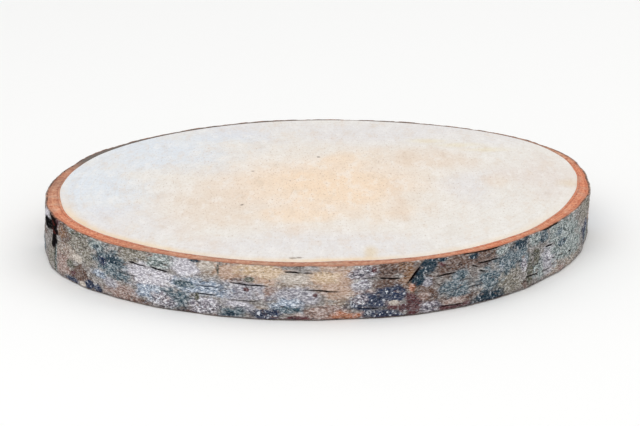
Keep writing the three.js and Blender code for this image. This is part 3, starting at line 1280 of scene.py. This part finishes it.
def weathered_bark():
    """Outer bark as it grew: grey and matt, with dark lenticels, lichen crust and tan flakes."""
    material, tree = new_material("weathered_outer_bark")
    place = add_node(tree, "TexCoord").outputs["Object"]
    level = stretch(tree, place, (1, 1, LEVEL_STRETCH))
    flat = stretch(tree, place, (1, 1, FLAT_STRETCH))
    mid = lumps(tree, level, 7, 5.0, 0.65)
    small = lumps(tree, flat, 3.8, 4.0, 0.65)
    fine = lumps(tree, flat, 1.45, 2.0, 0.65)

    # Bare bark between the patches
    base = ramp(tree, mid, (
        (0.32, "#7f7a76"),
        (0.45, "#8f8a87"),
        (0.55, "#9b9693"),
        (0.70, "#aaa5a3"),
    ))

    # Patches of lichen, flaked bark and damp stain, each fading into the next
    fray = calc(tree, "MULTIPLY_ADD", lumps(tree, level, 4.5, 2.0, 0.5), 1.4, -0.7)
    for kind, (code, _) in BARK_KINDS.items():
        share = calc(tree, "ADD", marked(tree, kind), fray)
        base = tint(tree, base, code, share, 0.15, 0.9)

    # Light and shade of the fine scurf, strongest on crust and dark stains. It is added as grey: the
    # same amount to red, green and blue.
    grain = marked(tree, "grain")
    sharp = calc(tree, "MULTIPLY_ADD", between(tree, fine, 0.32, 0.68), 2.2, -1.1)
    soft = calc(tree, "MULTIPLY_ADD", between(tree, small, 0.3, 0.7), 0.5, -0.25)
    scurf = calc(tree, "MULTIPLY", calc(tree, "ADD", sharp, soft), grain)
    shade = calc(tree, "POWER", SCURF_CONTRAST, scurf)
    paleness = add_node(tree, "RGBToBW", {"Color": base}).outputs[0]
    change = calc(tree, "MULTIPLY", calc(tree, "SUBTRACT", shade, 1.0), paleness)
    base = add_node(tree, "VectorMath", {0: base, 1: change}, operation="ADD").outputs[0]
    base = add_node(tree, "VectorMath", {0: base, 1: SCURF_DARKEST}, operation="MAXIMUM").outputs[0]

    # Short dark level strokes where the surface has cracked as the trunk grew
    field = lumps(tree, flat, 5.5, 3.0, 0.6)
    line = between(tree, calc(tree, "ABSOLUTE", calc(tree, "SUBTRACT", field, 0.5)), 0.035, 0.012)
    broken = calc(tree, "MULTIPLY", line, between(tree, small, 0.56, 0.46))
    stroke_share = calc(tree, "MULTIPLY", broken, between(tree, grain, 0.3, 0.8, 0.8))
    base = layer(tree, stroke_share, base, colour("#24272d"))

    # Dark pits everywhere, and pale scales and blue-black granules on the crust
    pits = lumps(tree, level, 2.1, 2.0, 0.5)
    base = tint(tree, base, "#3d3738", pits, 0.62, 0.74, 0.6)
    scales = lumps(tree, place, 1.6, 1.0, 0.5)
    crusty = marked(tree, "crusty")
    base = tint(tree, base, "#dfe3ea", scales, 0.60, 0.70, 1.0, crusty)
    granules = calc(tree, "MULTIPLY", between(tree, scales, 0.42, 0.32), crusty)
    base = layer(tree, calc(tree, "MULTIPLY", granules, 0.6), base, colour("#1b2434"))

    # A thin dark band along the foot, bare brown fibre on the cut rim, and the forms with their tints
    foot = calc(tree, "MULTIPLY", marked(tree, "foot"), between(tree, mid, 0.3, 0.6))
    base = layer(tree, calc(tree, "MULTIPLY", foot, 0.75), base, colour("#3b2c30"))
    rim_tone = tint(tree, colour("#4d3731"), "#b08069", small, 0.35, 0.65)
    base = layer(tree, marked(tree, "rim"), base, rim_tone)
    # Painted shade darkens the creases, the scar and the gap, and a painted highlight lightens each lip
    for name, code, strength in FORM_TINTS_AND_PAINTED_LIGHT:
        base = tint(tree, base, code, marked(tree, name), 0.1, 0.6, strength)

    roughness = calc(tree, "MULTIPLY_ADD", fine, 0.2, 0.8)
    relief = calc(tree, "MULTIPLY_ADD", small, 0.6, fine)
    finish(tree, base, roughness, relief, 0.8, 0.5, 0.01)
    return material


# Side of the floor in metres, strength of the room's light, and each lamp's place, size and power
FLOOR_SIZE = 6
ROOM_LIGHT = 0.85
LAMPS = (
    ((-0.4, -0.9, 1.3), 1.4, 6),
    ((0.7, 0.6, 1.4), 1.2, 3),
)


def studio():
    """Plain pale floor, a soft lamp above in front and one behind, and a bright even room."""
    bpy.ops.object.select_all(action="DESELECT")
    bpy.ops.mesh.primitive_plane_add(size=FLOOR_SIZE, location=(0, 0, 0))
    floor = bpy.context.object
    floor.name = "studio_floor"
    material, tree = new_material("pale_studio_floor")
    surface = add_node(tree, "BsdfPrincipled", {"Base Color": colour("#f6f6f5"), "Roughness": 0.9})
    add_node(tree, "OutputMaterial", {"Surface": surface.outputs["BSDF"]})
    floor.data.materials.append(material)

    world = bpy.data.worlds.new("soft_room")
    bpy.context.scene.world = world
    world.use_nodes = True
    background = world.node_tree.nodes["Background"]
    background.inputs["Color"].default_value = colour("#ffffff")
    background.inputs["Strength"].default_value = ROOM_LIGHT

    for place, size, power in LAMPS:
        bpy.ops.object.light_add(type="AREA", location=place)
        lamp = bpy.context.object
        lamp.data.size = size
        lamp.data.energy = power
        lamp.rotation_euler = (-Vector(place)).to_track_quat("-Z", "Y").to_euler()


# Camera, as the photograph was taken: how high it looks down, how far off it stands and its lens
VIEW_ELEVATION = 15.9
VIEW_DISTANCE = 1500
VIEW_LENS = 155.9
SENSOR_WIDTH = 36
VIEW_TARGET = (-0.12, 0, 12.1)


def camera():
    """The camera, fitted to the photograph's view."""
    elevation = math.radians(VIEW_ELEVATION)
    stand = Vector((0, -math.cos(elevation), math.sin(elevation))) * VIEW_DISTANCE + AXIS
    target = Vector(VIEW_TARGET) + AXIS
    data = bpy.data.cameras.new("camera")
    data.lens = VIEW_LENS
    data.sensor_width = SENSOR_WIDTH
    made = bpy.data.objects.new("camera", data)
    bpy.context.scene.collection.objects.link(made)
    made.location = stand * MM
    made.rotation_euler = (target - stand).to_track_quat("-Z", "Y").to_euler()
    bpy.context.scene.camera = made


bpy.context.scene.view_settings.view_transform = "Standard"
camera()
pieces = (
    (wood_disc(), "wood", sawn_hardwood()),
    (inner_bark(), "inner_bark", sawn_inner_bark()),
    (outer_bark(), "outer_bark", weathered_bark()),
)
for piece, slot, material in pieces:
    piece.data.materials.append(material)
    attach(piece, "root")
    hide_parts("wood_slice")
studio()
